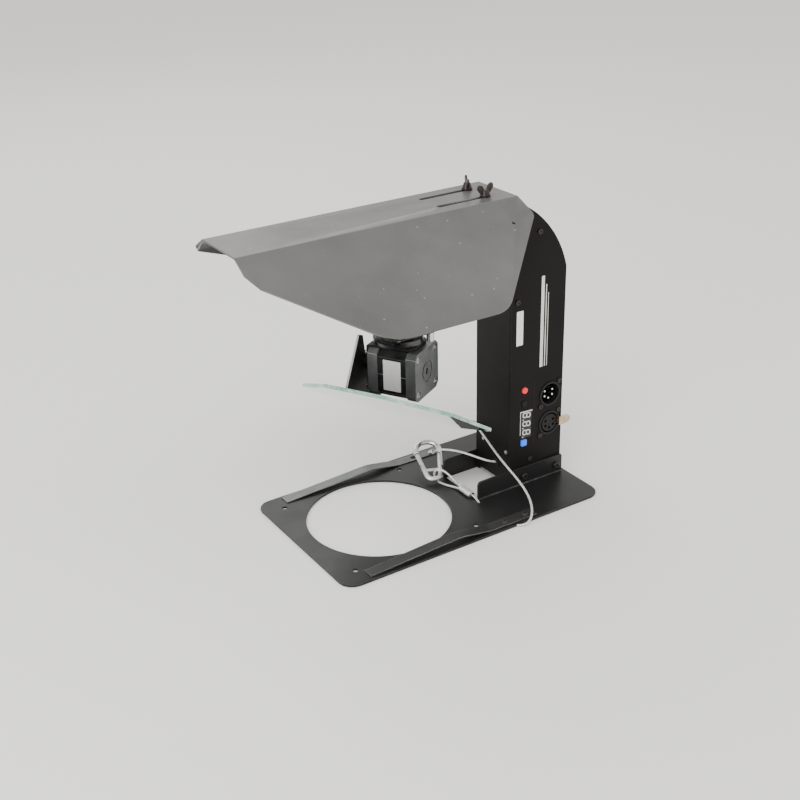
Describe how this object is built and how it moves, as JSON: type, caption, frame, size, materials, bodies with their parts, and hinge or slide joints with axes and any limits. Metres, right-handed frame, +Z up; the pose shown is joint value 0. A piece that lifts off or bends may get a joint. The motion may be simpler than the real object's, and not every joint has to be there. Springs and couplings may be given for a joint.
{
  "type": "motorised moving-mirror spotlight attachment",
  "caption": "Slide-in plate with a round light aperture, a black control column and hooded arm, and an octagonal mirror that motors pan and tilt to steer the beam.",
  "frame": {"origin": "centre of the light aperture on the underside of the slide-in plate", "axes": "+Z up along the light's axis, +X from the aperture towards the control column, +Y to the far side from the controls"},
  "size_m": [0.3147, 0.2248, 0.2817],
  "materials": {
    "plate_paint": "satin",
    "housing_paint": "satin",
    "hood_paint": "satin",
    "spring_steel": "brushed",
    "zinc_steel": "bright zinc",
    "black_steel": "black oxide",
    "cast_caps": "die cast",
    "stator_iron": "black laminations",
    "bearing_steel": "polished",
    "hub_metal": "turned",
    "bracket_paint": "satin",
    "glass": "polished, green edge",
    "pad": "matte",
    "label": "paper",
    "board": "solder mask",
    "display": "gloss",
    "brass": "plain",
    "connector": "satin",
    "pins": "bright",
    "red": "gloss",
    "black_plastic": "matte",
    "blue": "gloss",
    "chrome": "polished",
    "rubber": "matte",
    "cable": "clear sheath over steel strands"
  },
  "bodies": {
    "stand": {"base_plate": "plate_paint", "leaf_spring_near": "spring_steel", "leaf_spring_far": "spring_steel", "spring_rivets": "zinc_steel", "housing_channel": "housing_paint", "side_cover": "housing_paint", "cover_screws": "black_steel", "front_screws": "zinc_steel", "flange_screws": "black_steel", "cable_bush": "rubber", "far_bush": "rubber", "control_board": "board", "driver_board": "board", "display_module": "display", "board_standoffs": "brass", "xlr_male_shell": "connector", "xlr_male_pins": "pins", "xlr_female_shell": "connector", "xlr_female_insert": "black_plastic", "connector_screws": "zinc_steel", "blank_label": "label", "pan_motor_caps": "cast_caps", "pan_motor_stator": "stator_iron", "pan_motor_bearings": "bearing_steel", "pan_motor_screws": "zinc_steel", "pan_cradle": "bracket_paint", "cradle_screws": "zinc_steel", "pan_stop_post": "zinc_steel", "hood_washers": "black_steel", "weld_nuts": "zinc_steel", "cable_arc": "cable", "cable_lead": "cable", "cable_eye": "cable", "cable_ferrule": "zinc_steel", "cable_stop": "zinc_steel", "hook_body": "zinc_steel", "hook_pin": "zinc_steel"},
    "yoke": {"pan_rotor": "bearing_steel", "pan_hub": "hub_metal", "yoke_bracket": "bracket_paint", "hub_screws": "zinc_steel", "yoke_screws": "zinc_steel", "tilt_motor_caps": "cast_caps", "tilt_motor_stator": "stator_iron", "tilt_motor_bearings": "bearing_steel", "tilt_motor_screws": "zinc_steel", "tilt_motor_label": "label"},
    "mirror": {"tilt_rotor": "bearing_steel", "mirror_bracket": "bracket_paint", "collar_screw": "black_steel", "mirror_pad": "pad", "mirror_glass": "glass"},
    "hood": {"hood": "hood_paint"},
    "wing_near": {"wing_screw_near": "black_steel"},
    "wing_far": {"wing_screw_far": "black_steel"},
    "red_key": {"red_button": "red"},
    "black_key": {"black_button": "black_plastic"},
    "blue_key": {"blue_button": "blue"},
    "latch": {"xlr_latch": "chrome"},
    "gate": {"hook_gate": "zinc_steel"}
  },
  "joints": [
    {"name": "pan", "type": "hinge", "parent": "stand", "child": "yoke", "pos_m": [0.03, 0, 0.1358], "axis": [0, 0, 1], "range_deg": [-145, 85]},
    {"name": "tilt", "type": "hinge", "parent": "yoke", "child": "mirror", "pos_m": [0.03, 0, 0.1358], "axis": [-0.5, 0.866, 0], "range_deg": [-16.5, 40.5]},
    {"name": "hood_slide", "type": "slide", "parent": "stand", "child": "hood", "axis": [1, 0, 0], "range_m": [0, 0.04]},
    {"name": "wing_near_turn", "type": "hinge", "parent": "stand", "child": "wing_near", "pos_m": [0.1026, -0.0125, 0.27], "axis": [0, 0, 1], "continuous": true},
    {"name": "wing_far_turn", "type": "hinge", "parent": "stand", "child": "wing_far", "pos_m": [0.1026, 0.0125, 0.27], "axis": [0, 0, 1], "continuous": true},
    {"name": "red_press", "type": "slide", "parent": "stand", "child": "red_key", "axis": [0, 1, 0], "range_m": [0, 0.0008], "stiffness_N_per_m": 400, "springref_m": -0.001},
    {"name": "black_press", "type": "slide", "parent": "stand", "child": "black_key", "axis": [0, 1, 0], "range_m": [0, 0.0008], "stiffness_N_per_m": 400, "springref_m": -0.001},
    {"name": "blue_press", "type": "slide", "parent": "stand", "child": "blue_key", "axis": [0, 1, 0], "range_m": [0, 0.0008], "stiffness_N_per_m": 400, "springref_m": -0.001},
    {"name": "latch_press", "type": "slide", "parent": "stand", "child": "latch", "axis": [0, 1, 0], "range_m": [0, 0.0015], "stiffness_N_per_m": 800, "springref_m": -0.001},
    {"name": "gate_swing", "type": "hinge", "parent": "stand", "child": "gate", "pos_m": [0.0694, 0.03522, 0.01258], "axis": [-0.1371, -0.3293, 0.9342], "range_deg": [-25, 0], "stiffness_Nm_per_rad": 0.02, "springref_deg": 17.19}
  ]
}
